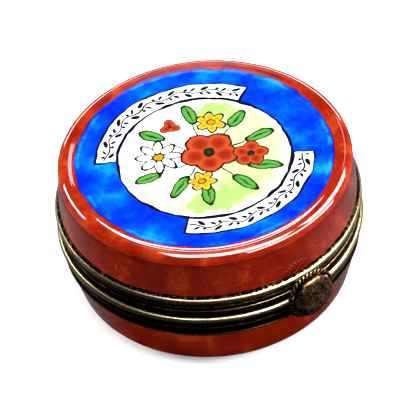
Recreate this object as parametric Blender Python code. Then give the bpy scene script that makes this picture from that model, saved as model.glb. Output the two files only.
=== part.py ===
"""Round hinged keepsake box of glazed porcelain with brass bands, a tube hinge and a button clasp.

Metres, +Z up. The origin is the centre of the underside. The clasp is at -Y and the hinge at +Y.
"""
from math import atan2, cos, degrees, pi, radians, sin, sqrt, tan

import bmesh
import bpy
from mathutils import Vector

MM = 0.001
ROUND_STEPS = 48               # flats round a turned piece
SMALL_STEPS = 24               # flats round a small turned piece
SEAT_GAP = 0.25 * MM           # between a piece and the piece that it is cemented or soldered to

# Bands, shared sizes
BAND_OUTER_R = 25.0 * MM       # over the big beads, a two inch box
BAND_FLANGE_T = 0.45 * MM      # flange that covers the porcelain's edge
SEAM_Z = 13.2 * MM             # middle of the gap between the two bands
SEAM_GAP = 0.3 * MM
THIN_BEAD_R = 0.2 * MM
BEAD_ROOT = 0.1 * MM           # depth that a bead's root is drawn in by

# Base band, heights measured down from its top
BASE_BAND_H = 4.65 * MM
BASE_GROOVE_DEPTH = 0.9 * MM   # from the big bead's outside in to the groove's floor
BASE_WALL_T = 0.55 * MM        # from the groove's floor in to the bore
BASE_BEAD_R = 0.58 * MM
BASE_BEAD_DROP = 1.0 * MM
BASE_THIN_BEAD_DROP = 2.95 * MM
BASE_FOOT_BEAD_R = 0.22 * MM

# Lid band, heights measured up from its foot
LID_BAND_H = 3.75 * MM
LID_GROOVE_DEPTH = 0.8 * MM
LID_WALL_T = 0.65 * MM
LID_BEAD_R = 0.5 * MM
LID_BEAD_RISE = 3.0 * MM
LID_THIN_BEAD_RISE = 1.45 * MM
LID_THIN_BEAD_PITCH = 0.6 * MM
LID_EDGE_BEAD_R = 0.3 * MM
LID_EDGE_BEAD_RISE = 0.43 * MM
LID_LEDGE_W = 0.25 * MM        # flat top of the lid's band, outside the porcelain

# Porcelain bowl
BOWL_FOOT_ROUND = 3.2 * MM
BOWL_FLARE = radians(15.2)     # lean of the wall
BOWL_RIM_T = 2.6 * MM
BOWL_WELL_ROUND = 3.0 * MM
BOWL_FLOOR_T = 3.0 * MM

# Porcelain lid
LID_RIM_T = 1.6 * MM
LID_PROUD = 0.1 * MM           # how far the wall stands out over the band's groove
LID_LEAN = 0.4 * MM            # how far the wall draws in on its way up
LID_WALL_H = 5.8 * MM          # from the band's top to the neck
LID_NECK_DEPTH = 0.25 * MM
LID_ROLL_H = 2.35 * MM         # from the neck to the crest of the rolled rim
LID_ROLL_R = 1.1 * MM
LID_ROLL_INSET = 0.1 * MM      # of the roll's outside from the top of the wall
LID_ROLL_W = 2.6 * MM          # from the roll's outside in to the flat painted disc
LID_DISC_SINK = 0.4 * MM       # depth of the disc below the crest
LID_ROOF_T = 2.6 * MM
LID_HOLLOW_ROUND = 2.2 * MM

# Inner collar of the base
COLLAR_T = 0.4 * MM
COLLAR_RISE = 1.8 * MM         # above the seam
COLLAR_BEVEL = 0.15 * MM
COLLAR_RUNNING_GAP = 0.4 * MM

# Hinge
KNUCKLE_R = 1.1 * MM
KNUCKLE_L = 1.9 * MM
KNUCKLE_SIDE_GAP = 0.22 * MM
KNUCKLE_BEAD_GAP = 0.28 * MM
KNUCKLE_FOOT = 0.8 * MM        # reach of a foot to each side of the band's curve
PIN_R = 0.45 * MM
PIN_RUNNING_GAP = 0.1 * MM
PIN_HEAD_LIP = 0.4 * MM        # how far a head stands out round the pin
PIN_HEAD_T = 0.45 * MM

# Clasp
CLASP_RISE = 0.1 * MM          # of the button's centre above the seam
BUTTON_R = 3.7 * MM
BUTTON_DOME_H = 0.88 * MM      # from the button's widest circle to its tip
BUTTON_POWER = 2.3             # 2 is an ellipse, more is squarer
BUTTON_FOOT_R = 3.1 * MM
BUTTON_EDGE_GAP = 0.45 * MM    # between the rope's front and the button's widest circle
PLATE_T = 0.5 * MM
ROPE_RING_R = 4.08 * MM
ROPE_WIRE_R = 0.42 * MM
ROPE_LAYS = 34
ROPE_LAY_DEPTH = 0.2           # share of the wire's radius that the lay cuts in
STEM_R = 0.6 * MM
STEM_GAP = 0.25 * MM
TONGUE_W = 3.2 * MM
TONGUE_T = 0.4 * MM
TONGUE_TOP_GAP = 0.3 * MM      # below the lid's big bead
TONGUE_HOOK_GAP = 0.12 * MM    # between the hook's tip and the base's big bead, seen from the front
TONGUE_HOOK_H = 0.2 * MM
TONGUE_TAIL = 0.55 * MM        # below the hook
TONGUE_STAND_OFF = 0.25 * MM   # in front of the beads

# Radii and heights that follow from those above
base_groove_r = BAND_OUTER_R - BASE_GROOVE_DEPTH
base_bore_r = base_groove_r - BASE_WALL_T
base_bead_ring_r = BAND_OUTER_R - BASE_BEAD_R
base_band_high_z = SEAM_Z - SEAM_GAP / 2
base_band_low_z = base_band_high_z - BASE_BAND_H
base_bead_z = base_band_high_z - BASE_BEAD_DROP
lid_groove_r = BAND_OUTER_R - LID_GROOVE_DEPTH
lid_bore_r = lid_groove_r - LID_WALL_T
lid_bead_ring_r = BAND_OUTER_R - LID_BEAD_R
lid_edge_bead_out_r = lid_groove_r + LID_EDGE_BEAD_R
lid_band_low_z = SEAM_Z + SEAM_GAP / 2
lid_band_high_z = lid_band_low_z + LID_BAND_H
lid_bead_z = lid_band_low_z + LID_BEAD_RISE
lid_thin_bead_z = lid_band_low_z + LID_THIN_BEAD_RISE
lid_edge_bead_z = lid_band_low_z + LID_EDGE_BEAD_RISE
bowl_step_r = base_bore_r - SEAT_GAP
bowl_mouth_r = bowl_step_r - BOWL_RIM_T
bowl_rim_z = base_band_high_z - BAND_FLANGE_T - SEAT_GAP
lid_step_r = lid_bore_r - SEAT_GAP
lid_mouth_r = lid_step_r - LID_RIM_T
lid_rim_z = lid_band_low_z + BAND_FLANGE_T + SEAT_GAP
lid_foot_r = lid_groove_r + LID_PROUD
collar_outer_r = lid_mouth_r - COLLAR_RUNNING_GAP

# Places that follow, hinge and clasp
tube_to_bead = BASE_BEAD_R + KNUCKLE_R + KNUCKLE_BEAD_GAP
hinge_y = base_bead_ring_r + sqrt(tube_to_bead ** 2 - (SEAM_Z - base_bead_z) ** 2)
hinge_axis = Vector((0, hinge_y, SEAM_Z))
tongue_root_y = -(lid_groove_r + THIN_BEAD_R + TONGUE_STAND_OFF)
tongue_front_y = -(BAND_OUTER_R + TONGUE_STAND_OFF)
tongue_top_z = lid_bead_z - LID_BEAD_R - TONGUE_TOP_GAP
hook_y = -(BAND_OUTER_R + TONGUE_HOOK_GAP)
hook_z = base_bead_z - BASE_BEAD_R - TONGUE_HOOK_GAP
clasp_axis = Vector((0, tongue_root_y - TONGUE_T / 2, tongue_top_z - TONGUE_T / 2))
clasp_z = SEAM_Z + CLASP_RISE
plate_back_y = tongue_front_y - TONGUE_T - SEAT_GAP
plate_front_y = plate_back_y - PLATE_T
plate_r = ROPE_RING_R - ROPE_WIRE_R - SEAT_GAP
rope_y = (plate_back_y + plate_front_y) / 2
button_foot_y = plate_front_y - SEAT_GAP
button_edge_h = button_foot_y - (rope_y - ROPE_WIRE_R - BUTTON_EDGE_GAP)


def clear_scene():
    for thing in list(bpy.data.objects):
        bpy.data.objects.remove(thing, do_unlink=True)


def material(name, colour, roughness, metallic=0.0):
    made = bpy.data.materials.new(name)
    made.use_nodes = True
    shader = made.node_tree.nodes["Principled BSDF"]
    shader.inputs["Base Color"].default_value = (*colour, 1)
    shader.inputs["Roughness"].default_value = roughness
    shader.inputs["Metallic"].default_value = metallic
    return made


def pivot(name, world, parent=None):
    """An empty on a joint's axis."""
    empty = bpy.data.objects.new(name, None)
    bpy.context.collection.objects.link(empty)
    empty.parent = parent
    empty.location = world - (parent.location if parent else Vector())
    empty["world"] = world
    return empty


def add_piece(name, mesh, finish, world=(0, 0, 0), parent=None, turn=(0, 0, 0)):
    """Link a mesh as a named piece whose own origin stands at a point of the box."""
    piece = bpy.data.objects.new(name, mesh)
    bpy.context.collection.objects.link(piece)
    piece.parent = parent
    piece.location = Vector(world) - (Vector(parent["world"]) if parent else Vector())
    piece.rotation_euler = turn
    mesh.materials.append(finish)
    return piece


def arc(centre_r, centre_z, radius, start, end, steps):
    """Points on an arc, angles in degrees from outwards, counter-clockwise."""
    angles = (radians(start + (end - start) * i / steps) for i in range(steps + 1))
    return [(centre_r + radius * cos(a), centre_z + radius * sin(a)) for a in angles]


def turned(name, outline, finish, steps=ROUND_STEPS, closed=True, **place):
    """Turn an outline of (radius, height) points about Z. It runs down the outer side."""
    mesh = bpy.data.meshes.new(name)
    points = [(r, 0, z) for r, z in outline]
    edges = [(i, i + 1) for i in range(len(points) - 1)]
    if closed:
        edges.append((len(points) - 1, 0))
    mesh.from_pydata(points, edges, [])
    piece = add_piece(name, mesh, finish, **place)
    screw = piece.modifiers.new("Turn", "SCREW")
    screw.axis = "Z"
    screw.angle = 2 * pi
    screw.steps = steps
    screw.render_steps = steps
    screw.use_merge_vertices = True
    screw.merge_threshold = 0.000001
    screw.use_smooth_shade = True
    return piece


def extruded(name, outline, width, finish, **place):
    """Push an outline of (y, z) points along X, to half the width on each side."""
    shape = bmesh.new()
    face = shape.faces.new([shape.verts.new((-width / 2, y, z)) for y, z in outline])
    grown = bmesh.ops.extrude_face_region(shape, geom=[face])
    moved = [item for item in grown["geom"] if isinstance(item, bmesh.types.BMVert)]
    bmesh.ops.translate(shape, verts=moved, vec=(width, 0, 0))
    bmesh.ops.recalc_face_normals(shape, faces=shape.faces)
    mesh = bpy.data.meshes.new(name)
    shape.to_mesh(mesh)
    shape.free()
    return add_piece(name, mesh, finish, **place)


def drill(piece, name, radius, length, centre, turn=(0, 0, 0), steps=16):
    """Cut a round hole through a piece with a hidden cutter."""
    shape = bmesh.new()
    bmesh.ops.create_cone(shape, cap_ends=True, segments=steps, radius1=radius, radius2=radius, depth=length)
    mesh = bpy.data.meshes.new(name)
    shape.to_mesh(mesh)
    shape.free()
    cutter = bpy.data.objects.new(name, mesh)
    bpy.context.collection.objects.link(cutter)
    cutter.parent = piece.parent
    cutter.location = Vector(centre) - (Vector(piece.parent["world"]) if piece.parent else Vector())
    cutter.rotation_euler = turn
    cutter.hide_render = True
    cutter.display_type = "WIRE"
    cut = piece.modifiers.new("Hole", "BOOLEAN")
    cut.operation = "DIFFERENCE"
    cut.solver = "EXACT"
    cut.object = cutter


def make_bowl(finish):
    """Porcelain bowl: flat foot, round corner, leaning wall and a step that the band sits on."""
    shoulder_z = base_band_low_z - SEAT_GAP
    corner_r = base_groove_r - shoulder_z * tan(BOWL_FLARE)
    foot_r = corner_r - BOWL_FOOT_ROUND * (1 - sin(BOWL_FLARE)) / cos(BOWL_FLARE)
    inner = [(0, BOWL_FLOOR_T)]
    inner += arc(bowl_mouth_r - BOWL_WELL_ROUND, BOWL_FLOOR_T + BOWL_WELL_ROUND, BOWL_WELL_ROUND, -90, 0, 4)
    rim = [(bowl_mouth_r, bowl_rim_z), (bowl_step_r, bowl_rim_z),
           (bowl_step_r, shoulder_z), (base_groove_r, shoulder_z)]
    outer = arc(foot_r, BOWL_FOOT_ROUND, BOWL_FOOT_ROUND, -degrees(BOWL_FLARE), -90, 5)
    return turned("base_bowl", inner + rim + outer + [(0, 0)], finish, closed=False)


def make_lid(finish, parent):
    """Porcelain lid: stepped mouth, near upright wall, neck, rolled rim and flat top."""
    shoulder_z = lid_band_high_z + SEAT_GAP
    neck_r = lid_foot_r - LID_LEAN
    neck_z = lid_band_high_z + LID_WALL_H
    crest_z = neck_z + LID_ROLL_H
    roll_out_r = neck_r - LID_ROLL_INSET
    disc_r = roll_out_r - LID_ROLL_W
    disc_z = crest_z - LID_DISC_SINK
    roof_z = disc_z - LID_ROOF_T
    roll = arc(roll_out_r - LID_ROLL_R, crest_z - LID_ROLL_R, LID_ROLL_R, 110, -35, 7)
    neck = [(neck_r - LID_NECK_DEPTH, (roll[-1][1] + neck_z) / 2), (neck_r, neck_z)]
    step = [(lid_foot_r, shoulder_z), (lid_step_r, shoulder_z),
            (lid_step_r, lid_rim_z), (lid_mouth_r, lid_rim_z)]
    hollow = arc(lid_mouth_r - LID_HOLLOW_ROUND, roof_z - LID_HOLLOW_ROUND, LID_HOLLOW_ROUND, 0, 90, 4)
    outline = [(0, disc_z), (disc_r, disc_z)] + roll + neck + step + hollow + [(0, roof_z)]
    outline = [(r, z - SEAM_Z) for r, z in outline]
    return turned("lid_shell", outline, finish, closed=False, parent=parent, world=(0, 0, SEAM_Z))


def make_base_band(finish):
    """Brass band of the base: big bead, groove, thin bead, foot bead and a flange over the bowl's rim."""
    flange_z = base_band_high_z - BAND_FLANGE_T
    flange_r = collar_outer_r + SEAT_GAP
    outline = [(flange_r, base_band_high_z), (base_groove_r, base_band_high_z)]
    outline += arc(base_bead_ring_r, base_bead_z, BASE_BEAD_R, 75, -75, 6)
    outline += [(base_groove_r, base_bead_z - BASE_BEAD_R - BEAD_ROOT)]
    outline += arc(base_groove_r, base_band_high_z - BASE_THIN_BEAD_DROP, THIN_BEAD_R, 90, -90, 2)
    outline += arc(base_groove_r, base_band_low_z + BASE_FOOT_BEAD_R, BASE_FOOT_BEAD_R, 90, -90, 2)
    outline += [(base_bore_r, base_band_low_z), (base_bore_r, flange_z), (flange_r, flange_z)]
    return turned("base_bezel", outline, finish)


def make_lid_band(finish, parent):
    """Brass band of the lid: ledge, big bead, two thin beads, edge bead and a flange under the lid's rim."""
    flange_z = lid_band_low_z + BAND_FLANGE_T
    outline = [(lid_bore_r, lid_band_high_z), (lid_foot_r + LID_LEDGE_W, lid_band_high_z)]
    outline += arc(lid_bead_ring_r, lid_bead_z, LID_BEAD_R, 60, -75, 6)
    outline += [(lid_groove_r, lid_bead_z - LID_BEAD_R - BEAD_ROOT)]
    for bead_z in (lid_thin_bead_z + LID_THIN_BEAD_PITCH, lid_thin_bead_z):
        outline += arc(lid_groove_r, bead_z, THIN_BEAD_R, 90, -90, 2)
    outline += arc(lid_groove_r, lid_edge_bead_z, LID_EDGE_BEAD_R, 90, -90, 4)
    outline += [(lid_groove_r - BEAD_ROOT, lid_band_low_z), (lid_mouth_r, lid_band_low_z),
                (lid_mouth_r, flange_z), (lid_bore_r, flange_z)]
    outline = [(r, z - SEAM_Z) for r, z in outline]
    return turned("lid_bezel", outline, finish, parent=parent, world=(0, 0, SEAM_Z))


def make_collar(finish):
    """Thin inner ring that stands on the bowl's rim and guides the lid."""
    inner_r = collar_outer_r - COLLAR_T
    top_z = SEAM_Z + COLLAR_RISE
    foot_z = bowl_rim_z + SEAT_GAP
    outline = [(inner_r, top_z), (collar_outer_r - COLLAR_BEVEL, top_z),
               (collar_outer_r, top_z - COLLAR_BEVEL), (collar_outer_r, foot_z), (inner_r, foot_z)]
    return turned("base_collar", outline, finish)


def knuckle_outline(foot):
    """Side view of a hinge tube about its own axis, with the foot that it is soldered on."""
    start = atan2(foot[-1][1], foot[-1][0])
    end = atan2(foot[0][1], foot[0][0])
    if end < start:
        end += 2 * pi
    steps = 14
    round_part = [(KNUCKLE_R * cos(start + (end - start) * i / steps),
                   KNUCKLE_R * sin(start + (end - start) * i / steps)) for i in range(steps + 1)]
    return round_part + foot[1:-1]


def make_knuckle(name, place, foot, seat_r, finish, parent):
    """One hinge tube, its foot cut to the band's curve. place counts tubes from the middle one, along X."""
    pitch = KNUCKLE_L + KNUCKLE_SIDE_GAP
    x_mid = place * pitch
    world = hinge_axis + Vector((x_mid, 0, 0))
    piece = extruded(name, knuckle_outline(foot), KNUCKLE_L, finish, world=world, parent=parent)
    drill(piece, name + "_bore", PIN_R + PIN_RUNNING_GAP, KNUCKLE_L * 2, world, (0, pi / 2, 0))
    drill(piece, name + "_seat", seat_r, 8 * KNUCKLE_R, (0, 0, SEAM_Z), steps=4 * ROUND_STEPS)


def tube_point(angle):
    """A point on a hinge tube's outside, about its own axis, at an angle in degrees up from +Y."""
    return KNUCKLE_R * cos(radians(angle)), KNUCKLE_R * sin(radians(angle))


def make_hinge(finish, lid_pivot):
    """Five tubes, soldered by turns to the base's band and the lid's band, and the pin through them."""
    base_seat_r = BAND_OUTER_R + SEAT_GAP
    base_inner = base_seat_r - KNUCKLE_FOOT - hinge_y
    base_low = base_bead_z - BASE_BEAD_R - SEAM_Z
    base_foot = [tube_point(-145), (base_inner, tube_point(-145)[1]), (base_inner, base_low),
                 (base_seat_r + KNUCKLE_FOOT - hinge_y, base_low), tube_point(-60)]
    lid_seat_r = lid_edge_bead_out_r + SEAT_GAP
    lid_inner = lid_seat_r - KNUCKLE_FOOT - hinge_y
    lid_high = lid_thin_bead_z - THIN_BEAD_R - SEAM_Z
    lid_foot = [tube_point(80), (lid_seat_r + KNUCKLE_FOOT / 2 - hinge_y, lid_high), (lid_inner, lid_high),
                (lid_inner, tube_point(165)[1]), tube_point(165)]
    for name, place in (("left", -2), ("middle", 0), ("right", 2)):
        make_knuckle("base_knuckle_" + name, place, base_foot, base_seat_r, finish, None)
    for name, place in (("left", -1), ("right", 1)):
        make_knuckle("lid_knuckle_" + name, place, lid_foot, lid_seat_r, finish, lid_pivot)
    half = 2.5 * KNUCKLE_L + 2 * KNUCKLE_SIDE_GAP
    head = half + KNUCKLE_SIDE_GAP
    head_r = PIN_R + PIN_HEAD_LIP
    outline = [(0, head + PIN_HEAD_T), (head_r * 0.7, head + PIN_HEAD_T), (head_r, head + PIN_HEAD_T / 2),
               (head_r, head), (PIN_R, head)]
    outline += [(r, -z) for r, z in reversed(outline)]
    turned("hinge_pin", outline, finish, steps=16, closed=False, world=hinge_axis, turn=(0, pi / 2, 0))


def make_tongue(finish, parent):
    """Springy strip: soldered to the lid's band at its top, jogged over the beads, hooked at its tail."""
    jog_low = lid_band_low_z
    jog_high = lid_edge_bead_z + LID_EDGE_BEAD_R + SEAT_GAP
    inner = [(tongue_root_y, tongue_top_z), (tongue_root_y, jog_high), (tongue_front_y, jog_low),
             (tongue_front_y, base_bead_z), (hook_y, hook_z), (hook_y, hook_z - TONGUE_HOOK_H),
             (tongue_front_y, hook_z - TONGUE_TAIL)]
    outer = [(y - TONGUE_T, z) for y, z in ((tongue_front_y, hook_z - TONGUE_TAIL), (tongue_front_y, jog_low),
                                            (tongue_root_y, jog_high), (tongue_root_y, tongue_top_z))]
    outline = [(y - clasp_axis.y, z - clasp_axis.z) for y, z in inner + outer]
    piece = extruded("clasp_tongue", outline, TONGUE_W, finish, world=clasp_axis, parent=parent)
    centre = (0, (tongue_root_y + tongue_front_y) / 2, clasp_z)
    drill(piece, "tongue_hole", STEM_R + STEM_GAP, 8 * TONGUE_T, centre, (pi / 2, 0, 0))


def make_backplate(finish, parent):
    """Flat disc inside the rope ring, with a hole for the button's stem."""
    bore = STEM_R + STEM_GAP
    outline = [(bore, PLATE_T), (plate_r, PLATE_T), (plate_r, 0), (bore, 0)]
    turned("clasp_backplate", outline, finish, steps=32, world=(0, plate_back_y, clasp_z), parent=parent,
           turn=(pi / 2, 0, 0))


def make_rope_ring(finish, parent):
    """Ring of twisted wire round the backplate. Its lay is a wave that runs round and across the wire."""
    around = ROPE_LAYS * 4
    sides = 6
    shape = bmesh.new()
    rings = []
    for i in range(around):
        turn = 2 * pi * i / around
        ring = []
        for j in range(sides):
            side = 2 * pi * j / sides
            wave = 0.5 - 0.5 * cos(ROPE_LAYS * turn + side)
            wire = ROPE_WIRE_R * (1 - ROPE_LAY_DEPTH * wave)
            reach = ROPE_RING_R + wire * cos(side)
            ring.append(shape.verts.new((reach * cos(turn), reach * sin(turn), wire * sin(side))))
        rings.append(ring)
    for i in range(around):
        near, far = rings[i], rings[(i + 1) % around]
        for j in range(sides):
            k = (j + 1) % sides
            shape.faces.new((near[j], far[j], far[k], near[k]))
    bmesh.ops.recalc_face_normals(shape, faces=shape.faces)
    mesh = bpy.data.meshes.new("clasp_rope_ring")
    shape.to_mesh(mesh)
    shape.free()
    mesh.shade_smooth()
    add_piece("clasp_rope_ring", mesh, finish, world=(0, rope_y, clasp_z), parent=parent, turn=(pi / 2, 0, 0))


def make_button(finish, parent):
    """Low cast dome that overhangs the rope ring, with a stem through the backplate and the tongue."""
    steps = 9
    squareness = 2 / BUTTON_POWER
    dome = []
    for i in range(steps + 1):
        a = pi / 2 * (1 - i / steps)
        rise = BUTTON_DOME_H * abs(sin(a)) ** squareness
        dome.append((BUTTON_R * abs(cos(a)) ** squareness, button_edge_h + rise))
    dome[0] = (0, button_edge_h + BUTTON_DOME_H)
    under_steps = 3
    under = []
    for i in range(1, under_steps + 1):
        a = pi / 2 * i / under_steps
        under.append((BUTTON_FOOT_R + (BUTTON_R - BUTTON_FOOT_R) * cos(a), button_edge_h * (1 - sin(a))))
    stem_back = -(SEAT_GAP + PLATE_T + SEAT_GAP + TONGUE_T * 0.8)
    outline = dome + under + [(STEM_R, 0), (STEM_R, stem_back), (0, stem_back)]
    turned("clasp_button", outline, finish, steps=SMALL_STEPS, closed=False,
           world=(0, button_foot_y, clasp_z), parent=parent, turn=(pi / 2, 0, 0))


def build_box():
    clear_scene()
    red_glaze = material("red_glaze", (0.42, 0.055, 0.02), 0.12)
    brass = material("antique_brass", (0.45, 0.32, 0.14), 0.35, 1.0)
    bright_brass = material("inner_brass", (0.62, 0.45, 0.2), 0.3, 1.0)
    lid_pivot = pivot("lid_hinge_axis", hinge_axis)
    clasp_pivot = pivot("clasp_flex_axis", clasp_axis, lid_pivot)
    make_bowl(red_glaze)
    make_base_band(brass)
    make_collar(bright_brass)
    make_lid(red_glaze, lid_pivot)
    make_lid_band(brass, lid_pivot)
    make_hinge(brass, lid_pivot)
    make_tongue(brass, clasp_pivot)
    make_backplate(brass, clasp_pivot)
    make_rope_ring(brass, clasp_pivot)
    make_button(brass, clasp_pivot)


build_box()
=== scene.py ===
from math import atan2, cos, degrees, pi, radians, sin

import bpy
from mathutils import Matrix, Vector


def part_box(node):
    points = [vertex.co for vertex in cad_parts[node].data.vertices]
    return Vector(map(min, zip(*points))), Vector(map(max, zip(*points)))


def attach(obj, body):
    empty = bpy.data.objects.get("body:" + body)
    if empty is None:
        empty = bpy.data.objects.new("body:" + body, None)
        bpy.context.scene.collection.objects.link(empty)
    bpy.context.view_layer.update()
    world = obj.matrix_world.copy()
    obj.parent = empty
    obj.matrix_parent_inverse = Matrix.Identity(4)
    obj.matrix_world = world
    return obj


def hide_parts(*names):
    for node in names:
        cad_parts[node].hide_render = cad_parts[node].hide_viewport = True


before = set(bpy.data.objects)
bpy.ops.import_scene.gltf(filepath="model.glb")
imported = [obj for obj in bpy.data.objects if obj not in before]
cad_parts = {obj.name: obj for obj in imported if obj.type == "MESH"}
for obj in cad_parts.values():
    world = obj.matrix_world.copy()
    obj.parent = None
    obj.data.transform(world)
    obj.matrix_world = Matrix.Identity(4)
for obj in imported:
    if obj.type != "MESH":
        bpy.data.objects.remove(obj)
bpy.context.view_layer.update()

MM = 0.001

# Porcelain bowl
# The bottom half of the box. It is slip cast in hard porcelain, fired, sponged outside with an iron red glaze
# and left white inside. Its mouth is stepped, and the brass band is cemented on the step.
bowl_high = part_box("base_bowl")[1]
base_band_low, base_band_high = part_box("base_bezel")
bowl_r = bowl_high.x / MM
bowl_rim_z = bowl_high.z / MM
bowl_shoulder_z = base_band_low.z / MM - 0.03    # the glaze runs up to the foot of the band
bowl_step_r = bowl_r - 0.8
bowl_wall_t = 2.6
bowl_mouth_r = bowl_step_r - bowl_wall_t
bowl_floor_z = 3.0
bowl_lean_deg = 15.2
bowl_lean = 0.2717              # tangent of that lean
bowl_corner_r = bowl_r - bowl_shoulder_z * bowl_lean
bowl_turn_r = 3.2               # the round from the wall to the foot
bowl_foot_r = bowl_corner_r - 2.45
bowl_hollow_r = 3               # the round from the floor to the wall inside
bowl_recess_z = 0.4             # the hollow underneath, inside the foot ring


def arc(centre_r, centre_z, radius, start, end, steps):
    """Points (radius, height) on an arc in a turned piece's section, angles in degrees up from outwards."""
    angles = [radians(start + (end - start) * i / steps) for i in range(steps + 1)]
    return [(centre_r + radius * cos(a), centre_z + radius * sin(a)) for a in angles]


def eased(points, rounds=2):
    """Cuts a section line's corners again and again, as wet clay and glaze round them. Its ends stay."""
    for _ in range(rounds):
        cut = [points[0]]
        for (r0, z0), (r1, z1) in zip(points, points[1:]):
            cut.append((0.75 * r0 + 0.25 * r1, 0.75 * z0 + 0.25 * z1))
            cut.append((0.25 * r0 + 0.75 * r1, 0.25 * z0 + 0.75 * z1))
        points = cut + [points[-1]]
    return points


def thrown(name, section, segments=256, smooth_angle=40):
    """A piece of revolution about Z: a circle is added at the section's first point, then extruded and scaled
    from point to point. section has (radius, height) in mm. Radius 0 at an end closes a pole there, and a
    section that comes back to its first point closes the wall."""
    pole_start = section[0][0] == 0
    rings = section[1:] if pole_start else section
    first_r, first_z = radius, height = rings[0]
    bpy.ops.object.select_all(action="DESELECT")
    bpy.ops.mesh.primitive_circle_add(vertices=segments, radius=radius * MM, location=(0, 0, height * MM))
    piece = bpy.context.object
    piece.name = piece.data.name = name
    bpy.ops.object.transform_apply(location=True, rotation=True, scale=True)
    bpy.ops.object.mode_set(mode="EDIT")
    bpy.ops.mesh.select_all(action="SELECT")
    for next_radius, next_height in rings[1:]:
        rise = (0, 0, (next_height - height) * MM)
        bpy.ops.mesh.extrude_edges_move(TRANSFORM_OT_translate={"value": rise})
        grow = next_radius / radius
        bpy.ops.transform.resize(value=(grow, grow, 1))
        radius, height = next_radius, next_height
    if pole_start:
        bpy.ops.mesh.select_mode(type="EDGE")
        bpy.ops.mesh.select_all(action="DESELECT")
        bpy.ops.object.mode_set(mode="OBJECT")
        reach = (first_r + 0.001) * MM
        for edge in piece.data.edges:
            ends = [piece.data.vertices[v].co for v in edge.vertices]
            edge.select = all(abs(p.z - first_z * MM) < 0.001 * MM and p.xy.length < reach for p in ends)
        bpy.ops.object.mode_set(mode="EDIT")
        to_pole = (0, 0, (section[0][1] - first_z) * MM)
        bpy.ops.mesh.extrude_edges_move(TRANSFORM_OT_translate={"value": to_pole})
        bpy.ops.mesh.merge(type="CENTER")
    bpy.ops.mesh.select_mode(type="VERT")
    bpy.ops.mesh.select_all(action="SELECT")
    bpy.ops.mesh.remove_doubles(threshold=0.0005 * MM)
    bpy.ops.mesh.normals_make_consistent(inside=False)
    bpy.ops.object.mode_set(mode="OBJECT")
    bpy.ops.object.shade_smooth_by_angle(angle=radians(smooth_angle))
    return piece


def wander(piece, grain, depth):
    """Presses slow unevenness of a grain and depth in mm into a piece's surface for good."""
    cloud = bpy.data.textures.new(piece.name + "_wander", "CLOUDS")
    cloud.noise_scale = grain * MM
    cloud.noise_depth = 1
    press = piece.modifiers.new("Wander", "DISPLACE")
    press.texture = cloud
    press.texture_coords = "LOCAL"
    press.mid_level = 0.5
    press.strength = depth * MM
    bpy.ops.object.modifier_apply(modifier=press.name)


bowl_inside = [(0, bowl_floor_z), (4, bowl_floor_z), (12, bowl_floor_z)]
bowl_inside += arc(bowl_mouth_r - bowl_hollow_r, bowl_floor_z + bowl_hollow_r, bowl_hollow_r, -90, 0, 10)
bowl_lip = eased([(bowl_mouth_r, bowl_rim_z - 0.5), (bowl_mouth_r, bowl_rim_z),
                  (bowl_mouth_r + 0.5, bowl_rim_z)])
bowl_step = [(bowl_step_r, bowl_rim_z), (bowl_step_r, bowl_shoulder_z)]
bowl_edge = eased([(bowl_r - 0.3, bowl_shoulder_z), (bowl_r, bowl_shoulder_z),
                   (bowl_r - 0.08, bowl_shoulder_z - 0.3)])
bowl_wall_foot = arc(bowl_foot_r, bowl_turn_r, bowl_turn_r, -bowl_lean_deg, -90, 12)
wall_top_r, wall_top_z = bowl_edge[-1]
wall_foot_r, wall_foot_z = bowl_wall_foot[0]
wall_rings = 6
bowl_wall = [(wall_top_r + (wall_foot_r - wall_top_r) * i / wall_rings,
              wall_top_z + (wall_foot_z - wall_top_z) * i / wall_rings) for i in range(1, wall_rings)]
bowl_underside = eased([(bowl_foot_r - 0.5, 0), (bowl_foot_r - 1.6, 0), (bowl_foot_r - 2.1, 0.35),
                        (bowl_foot_r - 3.2, bowl_recess_z)])
bowl_underside += [(10, bowl_recess_z), (4, bowl_recess_z), (0, bowl_recess_z)]
base_bowl = thrown("porcelain_bowl", bowl_inside + bowl_lip + bowl_step + bowl_edge + bowl_wall
                   + bowl_wall_foot + bowl_underside)
wander(base_bowl, grain=11, depth=0.07)
for vertex in base_bowl.data.vertices:
    vertex.co.z = max(vertex.co.z, 0)     # the foot ring is ground flat after firing


def colour(hex_code):
    """An sRGB hex colour as the linear colour that shaders take."""
    parts = [int(hex_code[i:i + 2], 16) / 255 for i in (1, 3, 5)]
    return (*[p / 12.92 if p <= 0.04045 else ((p + 0.055) / 1.055) ** 2.4 for p in parts], 1)


def add_node(tree, kind, sockets=None, stops=None, **settings):
    """Adds a node. sockets maps its inputs to values or to another node's output, stops fills a ramp with
    (place, hex colour) or (place, hex colour, alpha), and settings are the node's own properties."""
    made = tree.nodes.new(kind)
    for name, value in settings.items():
        setattr(made, name, value)
    for name, value in (sockets or {}).items():
        if isinstance(value, bpy.types.NodeSocket):
            tree.links.new(value, made.inputs[name])
        else:
            made.inputs[name].default_value = value
    if stops:
        ramp = made.color_ramp.elements
        while len(ramp) < len(stops):
            ramp.new(1)
        for element, (place, hex_code, *alpha) in zip(ramp, stops):
            element.position = place
            element.color = (*colour(hex_code)[:3], alpha[0] if alpha else 1)
    return made


def worked(tree, value, *steps):
    """Works a value through steps, each an operation and what it takes besides the value, if anything."""
    for operation, *taken in steps:
        inputs = dict(enumerate([value, *taken]))
        value = add_node(tree, "ShaderNodeMath", inputs, operation=operation).outputs[0]
    return value


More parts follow.
